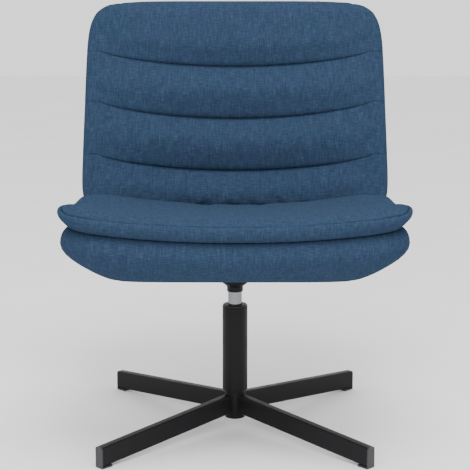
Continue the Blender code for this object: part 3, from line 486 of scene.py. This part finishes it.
def makeLegs(spec):
    steps = 8
    outer = roundedLoop(spec["width"], spec["height"], spec["corner"], steps)
    inner = roundedLoop(spec["width"] - 2 * spec["wall"], spec["height"] - 2 * spec["wall"],
                        spec["corner"] - spec["wall"], steps)
    count = len(outer)

    def legPoint(reach, across, up):
        return Vector((reach, across, spec["axisHeight"] + up - spec["fall"] * reach))

    def coped(across):  # where the leg meets the round hub
        return math.sqrt(spec["hubRadius"] ** 2 - across ** 2)

    for side, degrees in spec["turns"].items():
        turn = Matrix.Rotation(math.radians(degrees), 4, "Z")
        loops = []
        for loop in (inner, outer):
            loops.append([legPoint(coped(a), a, b) for a, b in loop])
            for reach in (0.12, 0.24):
                loops.append([legPoint(reach, a, b) for a, b in loop])
            loops.append([legPoint(spec["end"], a, b) for a, b in loop])
        points = [turn @ p for loop in loops for p in loop]
        faces = []
        order = [0, 1, 2, 3, 7, 6, 5, 4]  # in along the bore, back along the outside
        for near, far in zip(order, order[1:] + order[:1]):
            for i in range(count):
                j = (i + 1) % count
                faces.append((near * count + i, near * count + j, far * count + j, far * count + i))
        addPiece(f"legTube_{side}", points, faces, "black_powder_coat", "base", [f"leg_{side}"])
        makeWeld(side, spec, outer, turn, legPoint, coped)


def makeWeld(side, spec, outline, turn, legPoint, coped):  # rippled bead where the leg is welded to the hub
    path = []
    for (a, b), (c, d) in zip(outline, outline[1:] + outline[:1]):
        length = math.hypot(c - a, d - b)
        parts = max(1, round(length / 0.0008))
        path += [(a + (c - a) * i / parts, b + (d - b) * i / parts) for i in range(parts)]
    sides, points, faces = 8, [], []
    run = 0.0
    for index, (a, b) in enumerate(path):
        before, after = path[index - 1], path[(index + 1) % len(path)]
        run += math.hypot(a - before[0], b - before[1])
        along = (legPoint(coped(after[0]), *after) - legPoint(coped(before[0]), *before)).normalized()
        wave = 0.5 + 0.5 * math.cos(2 * math.pi * run / spec["ripple"])
        radius = spec["bead"] * (0.82 + 0.18 * wave)
        centre = legPoint(coped(a), a, b)
        outward = Vector((0.0, a, b)).normalized()
        first = (Vector((1.0, 0.0, 0.0)) - along * along.x).normalized()
        second = along.cross(first)
        centre = centre + outward * 0.0002 + first * 0.0004
        for turnIndex in range(sides):
            angle = 2 * math.pi * turnIndex / sides
            points.append(turn @ (centre + (first * math.cos(angle) + second * math.sin(angle)) * radius))
    total = len(path)
    for row in range(total):
        for i in range(sides):
            j, nextRow = (i + 1) % sides, (row + 1) % total
            faces.append((row * sides + i, row * sides + j, nextRow * sides + j, nextRow * sides + i))
    addPiece(f"weldBead_{side}", points, faces, "black_powder_coat", "base", (), None)


makeColumn(columnSpec)
makeLegs(legSpec)
print("column and legs made")


# soft pieces: a grid over the visible face, rings round the edge, and a closed far side
def softShell(columns, rows, face, rings, tail, pole):
    # face(i, j), rings and tail (i, j) give places; i and j run along the grid's columns and rows
    points = [face(i, j) for j in range(rows) for i in range(columns)]
    faces = []
    for j in range(rows - 1):
        for i in range(columns - 1):
            a = j * columns + i
            faces.append((a, a + 1, a + columns + 1, a + columns))
    border = [(i, 0) for i in range(columns)] + [(columns - 1, j) for j in range(1, rows)]
    border += [(i, rows - 1) for i in range(columns - 2, -1, -1)] + [(0, j) for j in range(rows - 2, 0, -1)]
    last = [j * columns + i for i, j in border]
    for ring in [*rings, *tail]:
        start = len(points)
        points += [ring(i, j) for i, j in border]
        fresh = [start + k for k in range(len(border))]
        for k in range(len(border)):
            n = (k + 1) % len(border)
            faces.append((last[k], last[n], fresh[n], fresh[k]))
        last = fresh
    points.append(pole)
    for k in range(len(border)):
        faces.append((last[k], last[(k + 1) % len(border)], len(points) - 1))
    return points, faces


def marks(count, evenness=0.6):  # -1 to 1, closer together towards both ends
    return [evenness * s + (1 - evenness) * math.sin(s * math.pi / 2)
            for s in [2 * i / (count - 1) - 1 for i in range(count)]]


def squircle(u, v, power):  # draws the corners of a square grid in to a soft rectangle
    k = 1 - 0.5 ** (1 / power)
    m = power - 1.2
    return 1 - k * abs(u) ** m * abs(v) ** m


clothSpec = {"frames": 20, "mass": 0.3, "tension": 18.0, "bending": 0.6, "pressure": 4.0}


def swell(piece, held, pressure, cap, grow=0.0):
    # foam pushes the cover out as cloth under pressure; held gives each point 1 where sewn or glued
    scene = bpy.context.scene
    before = [v.co.copy() for v in piece.data.vertices]
    group = piece.vertex_groups.new(name="held")
    for index, weight in enumerate(held):
        if weight > 0:
            group.add([index], weight, "REPLACE")
    cloth = piece.modifiers.new("cloth", "CLOTH")
    cloth.settings.quality = 5
    cloth.settings.mass = clothSpec["mass"]
    cloth.settings.tension_stiffness = clothSpec["tension"]
    cloth.settings.compression_stiffness = clothSpec["tension"]
    cloth.settings.shear_stiffness = 6.0
    cloth.settings.bending_stiffness = clothSpec["bending"]
    cloth.settings.vertex_group_mass = group.name
    cloth.settings.pin_stiffness = 1.0
    cloth.settings.use_pressure = True
    cloth.settings.uniform_pressure_force = pressure
    cloth.settings.shrink_min = -grow
    cloth.settings.effector_weights.gravity = 0.0
    cloth.collision_settings.use_collision = False
    cloth.point_cache.frame_start = 1
    cloth.point_cache.frame_end = clothSpec["frames"]
    for step in range(1, clothSpec["frames"] + 1):
        scene.frame_set(step)
    shown = piece.evaluated_get(bpy.context.evaluated_depsgraph_get()).data
    after = [v.co.copy() for v in shown.vertices]
    piece.modifiers.remove(cloth)
    largest = 0.0
    for vertex, old, new, weight in zip(piece.data.vertices, before, after, held):
        move = (new - old) * (1 - weight)
        largest = max(largest, move.length)
        if move.length > cap:
            move *= cap / move.length
        vertex.co = old + move
    piece.vertex_groups.remove(group)
    scene.frame_set(1)
    print(f"{piece.name}: cloth moved up to {largest * 1000:.1f} mm, kept to {cap * 1000:.0f} mm")


def cutBoxes(piece, boxes):  # (low, high, placement) boxes taken out of a piece
    for low, high, placement in boxes:
        work = bmesh.new()
        bmesh.ops.create_cube(work, size=1.0)
        size = Vector(high) - Vector(low)
        bmesh.ops.scale(work, vec=size, verts=work.verts)
        bmesh.ops.translate(work, vec=(Vector(low) + Vector(high)) / 2, verts=work.verts)
        bmesh.ops.transform(work, matrix=placement, verts=work.verts)
        mesh = bpy.data.meshes.new("cutter")
        work.to_mesh(mesh)
        work.free()
        cutter = bpy.data.objects.new("cutter", mesh)
        bpy.context.scene.collection.objects.link(cutter)
        modifier = piece.modifiers.new("slot", "BOOLEAN")
        modifier.object = cutter
        modifier.operation = "DIFFERENCE"
        modifier.solver = "EXACT"
        graph = bpy.context.evaluated_depsgraph_get()
        cut = bpy.data.meshes.new_from_object(piece.evaluated_get(graph))
        piece.modifiers.remove(modifier)
        old = piece.data
        piece.data = cut
        bpy.data.meshes.remove(old)
        bpy.data.objects.remove(cutter)
        bpy.data.meshes.remove(mesh)
        cut.name = piece.name


def crumple(place, seed, across, along):  # soft folds, longer one way than the other, -1 to 1
    return noise.noise(Vector((place[0] / across, place[1] / along, seed * 7.31)))


backSpec = {
    "foot": (0.0, 0.165, 0.421),  # where the front plane of the back meets its foot
    "lean": 12.0,
    "low": -0.012,
    "high": 0.433,
    "middle": 0.215,
    "halfWidthLow": 0.3235,
    "halfWidthHigh": 0.3075,
    "powerLow": 11.0,
    "powerHigh": 7.4,
    "cushionDepth": 0.040,
    "depth": 0.0686,
    "edge": 0.019,  # radius of the cushion's outer edge
    "seams": ((0.1083, 0.0766), (0.2186, 0.1856), (0.3235, 0.2950)),  # height at the sides and in the middle
    "fullness": (0.0018, 0.0200),  # how far a roll stands out, at the sides and in the middle
    "roll": (0.010, 0.054),  # height of its turned-under edge
    "rise": 0.062,  # the next roll comes out again over this height
    "overhang": 0.0032,
    "crown": 0.005,
    # soft creases where the filling has settled, each from one end to the other: (across, up, across, up)
    "creases": ((-0.207, 0.405, -0.189, 0.374), (-0.183, 0.292, -0.190, 0.262),
                (-0.191, 0.181, -0.198, 0.152), (-0.215, 0.073, -0.221, 0.048),
                (0.143, 0.150, 0.174, 0.120)),
    "creaseDepth": 0.0022,
    "creaseWidth": 0.006,
    "boardInset": 0.016,
    "strapX": 0.150,
}


def backFrame(spec):
    return Matrix.Translation(spec["foot"]) @ Matrix.Rotation(-math.radians(spec["lean"]), 4, "X")


def backHalfWidth(spec, height):
    share = min(max(height / spec["high"], 0.0), 1.0)
    return spec["halfWidthLow"] + (spec["halfWidthHigh"] - spec["halfWidthLow"]) * share


def smile(a):  # how far a seam sags, from 0 near the sides to 1 in the middle
    return (1 - min(a / 0.9, 1.0) ** 2) ** 0.8


def backRows(spec, a):
    # heights of the grid's rows at a share of the half width, close together beside each seam,
    # with the place of each row in its roll: (height, above the seam below, below the seam above)
    sag = smile(a)
    seams = [side + (middle - side) * sag for side, middle in spec["seams"]]
    ends = [spec["low"], *seams, spec["high"]]
    above = [0.0, 0.0003, 0.0010, 0.0022, 0.0040, 0.0066, 0.0100, 0.0140, 0.0185]
    below = [0.0135, 0.0090, 0.0055, 0.0028, 0.0010]
    rows = []
    for index, (low, high) in enumerate(zip(ends, ends[1:])):
        if index == 0:
            start = [low + 0.0011 * k ** 1.35 for k in range(9)]
        else:
            start = [low + step for step in above]
        if index == 3:
            stop = [high - 0.0011 * k ** 1.35 for k in range(8, 0, -1)]
        else:
            stop = [high - step for step in below]
        between = 12
        first, last = start[-1], stop[0]
        middle = [first + (last - first) * k / between for k in range(1, between)]
        for height in [*start, *middle, *stop]:
            rows.append((height, height - low if index else None, high - height if index < 3 else None))
    rows.append((spec["high"], spec["high"] - seams[-1], None))
    return rows


def backOutline(spec, u, height, low=None):
    # a grid point on the soft rectangle: across and up the back
    low = spec["low"] if low is None else low
    upper = height >= spec["middle"]
    half = spec["high"] - spec["middle"] if upper else spec["middle"] - low
    v = min(abs(height - spec["middle"]) / half, 1.0)
    draw = squircle(u, v, spec["powerHigh"] if upper else spec["powerLow"])
    x = u * draw * backHalfWidth(spec, height)
    return x, spec["middle"] + (height - spec["middle"]) * draw


def creaseAt(spec, x, height):
    total = 0.0
    for x0, z0, x1, z1 in spec["creases"]:
        run, climb = x1 - x0, z1 - z0
        t = ((x - x0) * run + (height - z0) * climb) / (run * run + climb * climb)
        t = min(max(t, 0.0), 1.0)
        gap = math.hypot(x - x0 - t * run, height - z0 - t * climb)
        total += math.sin(math.pi * (0.1 + 0.8 * t)) * math.exp(-(gap / spec["creaseWidth"]) ** 2)
    return total


def makeBackCushion(spec):
    columns = 121
    us = marks(columns)
    rowSets = [backRows(spec, abs(u)) for u in us]
    rows = len(rowSets[0])
    lean = backFrame(spec)
    flat, full = spec["fullness"]
    small, large = spec["roll"]
    edge = spec["edge"]
    held = []

    def facePoint(i, j):
        u = us[i]
        height, above, below = rowSets[i][j]
        sag = smile(abs(u))
        stand, roll = flat + (full - flat) * sag, small + (large - small) * sag
        turn = 1.0 if above is None else math.sqrt(1 - (1 - min(above / roll, 1.0)) ** 2)
        rise = 1.0 if below is None else 1 - (1 - min(below / spec["rise"], 1.0)) ** 2
        drop = 0.0
        if above is not None and above < 0.4 * roll:
            drop = spec["overhang"] * sag ** 0.5 * math.sin(math.pi * math.sqrt(above / (0.4 * roll)))
        x, z = backOutline(spec, u, height)
        halfWidth = backHalfWidth(spec, height)
        sideGap = (1 - abs(u)) * halfWidth
        endGap = min(spec["high"] - height, height - spec["low"])
        ru, rv = max(0.0, 1 - sideGap / edge), max(0.0, 1 - endGap / edge)
        rounding = edge * (1 - math.sqrt(max(0.0, 1 - min(1.0, ru * ru + rv * rv))))
        crown = spec["crown"] * (1 - u ** 4) * (1 - ((height - spec["middle"]) / 0.23) ** 4)
        # the cover is sewn a little full, so it folds softly beside the seams
        folds = 0.0
        if above is not None:
            window = ease(above, 0.004, 0.018) * (1 - ease(above, 0.02, 0.075))
            folds += crumple((x, height), 1, 0.021, 0.075) * window
        if below is not None:
            window = (1 - ease(below, 0.012, 0.06)) * ease(below, 0.0, 0.006)
            folds += crumple((x, height), 2, 0.017, 0.06) * window
        if above is not None and below is None:
            folds += 0.8 * crumple((x, height), 3, 0.024, 0.05) * (1 - ease(endGap, 0.01, 0.06))
        depth = rounding - crown + stand * (1 - rise * turn) - 0.0013 * folds * (1 - ru)
        return lean @ Vector((x, depth, z - drop * (1 - ru)))

    def ring(depth, inset):
        def place(i, j):
            x, z = backOutline(spec, us[i], rowSets[i][j][0])
            out = Vector((x, z - spec["middle"]))
            out -= out.normalized() * inset
            return lean @ Vector((out.x, depth, spec["middle"] + out.y))
        return place

    def shrunk(depth, share):
        def place(i, j):
            x, z = backOutline(spec, us[i], rowSets[i][j][0])
            return lean @ Vector((x * share, depth, spec["middle"] + (z - spec["middle"]) * share))
        return place

    last = spec["cushionDepth"]
    rings = [ring(edge + 0.005, 0.0), ring(edge + 0.0105, 0.0002), ring(0.0345, 0.0009), ring(0.0375, 0.0024),
             ring(0.0392, 0.0050), ring(last, 0.0095)]
    tail = [shrunk(last, share) for share in (0.8, 0.5, 0.25)]
    points, faces = softShell(columns, rows, facePoint, rings, tail, lean @ Vector((0, last, spec["middle"])))
    for j in range(rows):
        for i in range(columns):
            _, above, below = rowSets[i][j]
            seamGap = min(above if above is not None else 1.0, below if below is not None else 1.0)
            edgeGap = (1 - abs(us[i])) * spec["halfWidthHigh"]
            held.append(1 - ease(seamGap, 0.010, 0.028) * ease(edgeGap, 0.004, 0.03))
    held += [1.0] * (len(points) - len(held))
    cushion = addPiece("backCushionCover", points, faces, "blue_fabric", "seat", ["back_cushion"], None)
    swell(cushion, held, clothSpec["pressure"], 0.004, 0.02)
    inward = lean.to_3x3() @ Vector((0.0, 1.0, 0.0))
    for j in range(rows):
        for i in range(columns):
            x, z = backOutline(spec, us[i], rowSets[i][j][0])
            dent = spec["creaseDepth"] * creaseAt(spec, x, z)
            cushion.data.vertices[j * columns + i].co += dent * inward


def makeBackPanel(spec):
    # the padded rear of the back, hollow round the plywood and slotted for the straps
    columns = 61
    us = marks(columns)
    low, high = spec["low"] + 0.007, spec["high"]
    vs = [low + (high - low) * (m + 1) / 2 for m in marks(49)]
    lean = backFrame(spec)
    round0 = 0.020
    front = spec["cushionDepth"] + 0.0006

    def outline(i, j):
        return backOutline(spec, us[i], vs[j], low)

    def facePoint(i, j):
        x, z = outline(i, j)
        sideGap = (1 - abs(us[i])) * backHalfWidth(spec, vs[j])
        endGap = min(high - vs[j], vs[j] - low)
        ru, rv = max(0.0, 1 - sideGap / round0), max(0.0, 1 - endGap / round0)
        rounding = round0 * (1 - math.sqrt(max(0.0, 1 - min(1.0, ru * ru + rv * rv))))
        pull = 0.0006 * crumple((x, z), 5, 0.05, 0.05) * ease(min(sideGap, endGap), 0.0, 0.02)
        return lean @ Vector((x, spec["depth"] - 0.0012 - rounding + pull, z))

    def ring(depth, inset):
        def place(i, j):
            x, z = outline(i, j)
            middle = (high + low) / 2
            halfX, halfZ = spec["halfWidthHigh"], (high - low) / 2
            z = middle + (z - middle) * (1 - inset / halfZ)
            return lean @ Vector((x * (1 - inset / halfX), depth, z))
        return place

    inside = spec["depth"] - 0.0062
    hollow = spec["boardInset"] - 0.002
    rings = [ring(0.0465, 0.0), ring(0.0440, 0.0008), ring(0.0420, 0.0024), ring(front, 0.0050),
             ring(front, hollow), ring(inside, hollow)]
    middle = (high + low) / 2
    tail = []
    for share in (0.75, 0.4):
        def place(i, j, share=share):
            x, z = outline(i, j)
            return lean @ Vector((x * share, inside, middle + (z - middle) * share))
        tail.append(place)
    points, faces = softShell(columns, len(vs), facePoint, rings, tail, lean @ Vector((0, inside, middle)))
    panel = addPiece("backRearCover", points, faces, "blue_fabric", "seat", ["back_rear_panel"],
                     math.radians(60))
    return panel


seatSpec = {
    "middleY": -0.060,
    "frontY": -0.303,
    "frontReach": 0.2577,
    "rearReach": 0.302,
    "padRearReach": 0.213,
    "halfWidth": 0.306,
    "flare": 0.0615,
    "frontPower": 3.3,
    "rearPower": 6.0,
    "rearRounding": 0.55,
    "slope": 0.098,
    "dish": 0.020,
    "dishHalfWidth": 0.325,
    "bottom": 0.3420,
    "widest": 0.406,
    "top": 0.4355,
    "corner": 0.109,
    "flattening": 0.70,  # how far the rounding underneath falls inside a true quarter round
    "recess": 0.004,
    "topRound": 0.021,
    "frontPowerBelow": 7.0,
    "padThickness": 0.036,
    "bolster": 0.016,
    "bolsterRun": (-0.070, 0.050),
    "wing": 0.0068,  # lift of the pad's front corners
    "seamInset": 0.0072,
    "edgeDrop": 0.0048,  # fall of the pad's top towards its seam
    "boardInset": 0.134,
}


def seatHalfWidth(spec, y):
    return spec["halfWidth"] + spec["flare"] * ((0.2 - y) / 0.5) ** 2


def seatLift(spec, x, y):
    return spec["slope"] * (spec["frontY"] - y) + spec["dish"] * (x / spec["dishHalfWidth"]) ** 2


def seatPlan(spec, u, v, inset, rearReach, frontPower=None, sideInset=0.0):  # drawn in by the inset
    power = spec["rearPower"] if v > 0 else frontPower or spec["frontPower"]
    draw = squircle(u, v, power)
    reach = rearReach - inset * spec["rearRounding"] if v > 0 else spec["frontReach"] - inset
    y = spec["middleY"] + v * draw * reach
    return u * draw * (seatHalfWidth(spec, y) - inset - sideInset), y


def makeSeatPad(spec):
    columns, rows = 125, 91
    us, vs = marks(columns), marks(rows)
    bottom = spec["top"] + 0.001
    widest = 0.62 * spec["padThickness"]
    top = spec["padThickness"] - 0.006
    reach = spec["padRearReach"]
    seam = spec["seamInset"]

    def bolsterAt(x, y, share, raised=1.0):
        side = (x / spec["dishHalfWidth"]) ** 2
        wing = spec["wing"] * side ** 3 * ease(y, -0.26, -0.17) * (1 - ease(y, -0.12, -0.02))
        return share * spec["bolster"] * ease(y, *spec["bolsterRun"]) * side + raised * wing

    def facePoint(i, j):
        u, v = us[i], vs[j]
        x, y = seatPlan(spec, u, v, seam, reach)
        sideGap = (1 - abs(u)) * (seatHalfWidth(spec, y) - seam)
        endGap = (1 - abs(v)) * (reach if v > 0 else spec["frontReach"])
        puff = 0.020
        ru, rv = max(0.0, 1 - sideGap / puff), max(0.0, 1 - endGap / puff)
        drop = spec["edgeDrop"] * (1 - math.sqrt(max(0.0, 1 - min(1.0, ru * ru + rv * rv))))
        folds = 0.0007 * crumple((x, y), 8, 0.035, 0.05) * ease(min(sideGap, endGap), 0.0, 0.02)
        folds += 0.0022 * crumple((x, y), 9, 0.045, 0.2) * ease(v, 0.55, 0.95)
        crown = 0.0022 * (1 - u ** 4) * (1 - v ** 4)
        z = bottom + top + seatLift(spec, x, y) + bolsterAt(x, y, 1.0) + crown - drop + folds + 0.0012
        return Vector((x, y, z))

    def ring(height, inset):
        def place(i, j):
            under = 0.0100 * (1 - ease(height, 0.002, 0.0205))  # the ends tuck in further than the front
            x, y = seatPlan(spec, us[i], vs[j], inset, reach, None, under)
            share = max(0.0, (height - widest) / (top - widest))
            raised = min(max(height / widest, 0.0), 1.0)
            return Vector((x, y, bottom + height + seatLift(spec, x, y) + bolsterAt(x, y, share, raised)))
        return place

    def under(share):
        def place(i, j):
            x, y = seatPlan(spec, us[i], vs[j], 0.0265, reach)
            x, y = x * share, spec["middleY"] + (y - spec["middleY"]) * share
            return Vector((x, y, bottom + seatLift(spec, x, y)))
        return place

    boxing = ((0.0244, 0.0080), (0.0252, 0.0068), (0.0264, 0.0058), (0.0265, 0.0044), (0.0255, 0.0028),
              (0.0238, 0.0014), (0.0214, 0.0004), (0.0186, 0.0), (0.0152, 0.0001), (0.0118, 0.0008),
              (0.0086, 0.0020), (0.0056, 0.0038),
              (0.0028, 0.0062), (0.0004, 0.0092), (-0.0014, 0.0124), (-0.0019, 0.0150), (-0.0011, 0.0185),
              (-0.0003, 0.0220), (0.0004, 0.0265))  # height and inset down the edge, groove first
    rings = [ring(*place) for place in boxing]
    tail = [under(share) for share in (1.0, 0.85, 0.6, 0.3)]
    pole = Vector((0.0, spec["middleY"], bottom + seatLift(spec, 0.0, spec["middleY"])))
    points, faces = softShell(columns, rows, facePoint, rings, tail, pole)
    held = []
    for j in range(rows):
        for i in range(columns):
            gap = min((1 - abs(us[i])) * 0.33, (1 - abs(vs[j])) * 0.23)
            held.append(1 - ease(gap, 0.003, 0.03))
    held += [1.0] * (len(points) - len(held))
    pad = addPiece("seatPadCover", points, faces, "blue_fabric", "seat", ["seat_cushion"], None)
    swell(pad, held, 0.35 * clothSpec["pressure"], 0.005, 0.01)


def makeSeatBody(spec):
    columns, rows = 81, 61
    us, vs = marks(columns, 0.75), marks(rows, 0.75)
    height = spec["top"] - spec["bottom"]
    inset0 = spec["recess"]

    def ringPoint(z, inset, i, j, share=None):
        below = max(0.0, (spec["widest"] - z) / (spec["widest"] - spec["bottom"]))
        power = spec["frontPower"] + (spec["frontPowerBelow"] - spec["frontPower"]) * min(below, 1.0) ** 4
        x, y = seatPlan(spec, us[i], vs[j], inset + inset0, spec["rearReach"], power)
        share = (z - spec["bottom"]) / height if share is None else share
        return Vector((x, y, z + share * seatLift(spec, x, y)))

    def facePoint(i, j):
        return ringPoint(spec["top"], spec["topRound"], i, j)

    def ring(z, inset, tuck=0.0):
        def place(i, j):
            point = ringPoint(z, inset, i, j)
            if tuck:  # small gathers where the cover is pulled under the board
                angle = math.atan2(point.y - spec["middleY"], point.x)
                point.z += tuck * noise.noise(Vector((angle * 9.0, 3.3, 0.0)))
            return point
        return place

    rings = []
    for g in (0.97, 0.9, 0.8, 0.65, 0.5, 0.3, 0.1):
        rings.append(ring(spec["widest"] + g * (spec["top"] - spec["widest"]), spec["topRound"] * quarter(g)))
    lower = (0.0, 0.12, 0.24, 0.36, 0.47, 0.57, 0.66, 0.74, 0.81, 0.87, 0.92, 0.96, 0.985, 1.0)
    for f in lower:
        z = spec["widest"] - f * (spec["widest"] - spec["bottom"])
        gather = 0.0016 * ease(f, 0.5, 0.9) * (1 - ease(f, 0.9, 1.0))
        flat = spec["flattening"] * f * f * math.sqrt(1 - f * f)
        rings.append(ring(z, spec["corner"] * (quarter(f) + flat), gather))
    edge = spec["boardInset"] - 0.001 - inset0
    rings.append(lambda i, j: ringPoint(spec["bottom"] + 0.0006, edge - 0.0012, i, j, 0.0))
    rings.append(lambda i, j: ringPoint(spec["bottom"] + 0.0018, edge, i, j, 0.0))
    roof = spec["bottom"] + 0.0268
    rings.append(lambda i, j: ringPoint(roof, edge, i, j, 0.0))

    def under(share):
        def place(i, j):
            point = ringPoint(roof, edge, i, j, 0.0)
            return Vector((point.x * share, spec["middleY"] + (point.y - spec["middleY"]) * share, roof))
        return place

    tail = [under(share) for share in (0.7, 0.35)]
    points, faces = softShell(columns, rows, facePoint, rings, tail, Vector((0.0, spec["middleY"], roof)))
    body = addPiece("seatBodyCover", points, faces, "blue_fabric", "seat", ["seat_base"], math.radians(60))
    return body


makeBackCushion(backSpec)
backPanel = makeBackPanel(backSpec)
makeSeatPad(seatSpec)
seatBody = makeSeatBody(seatSpec)

# slots through the foam for the two steel straps that join the back to the seat
slotSpec = {
    "halfWidth": 0.021,
    "upright": ((0.0523, -0.060), (0.0583, 0.1)),  # corners as (depth, height), in the frame of the back
    "level": ((0.061, 0.3545), (0.2107, 0.3662)),  # corners as (depth, height), in the world
}
strapBoxes, roomBoxes = [], []
for sign in (-1, 1):
    x = sign * backSpec["strapX"]
    left, right = x - slotSpec["halfWidth"], x + slotSpec["halfWidth"]
    low, high = slotSpec["upright"]
    strapBoxes.append(((left, *low), (right, *high), backFrame(backSpec)))
    low, high = slotSpec["level"]
    roomBoxes.append(((left, *low), (right, *high), Matrix()))
cutBoxes(backPanel, strapBoxes)
cutBoxes(seatBody, strapBoxes + roomBoxes)
print("soft pieces made")
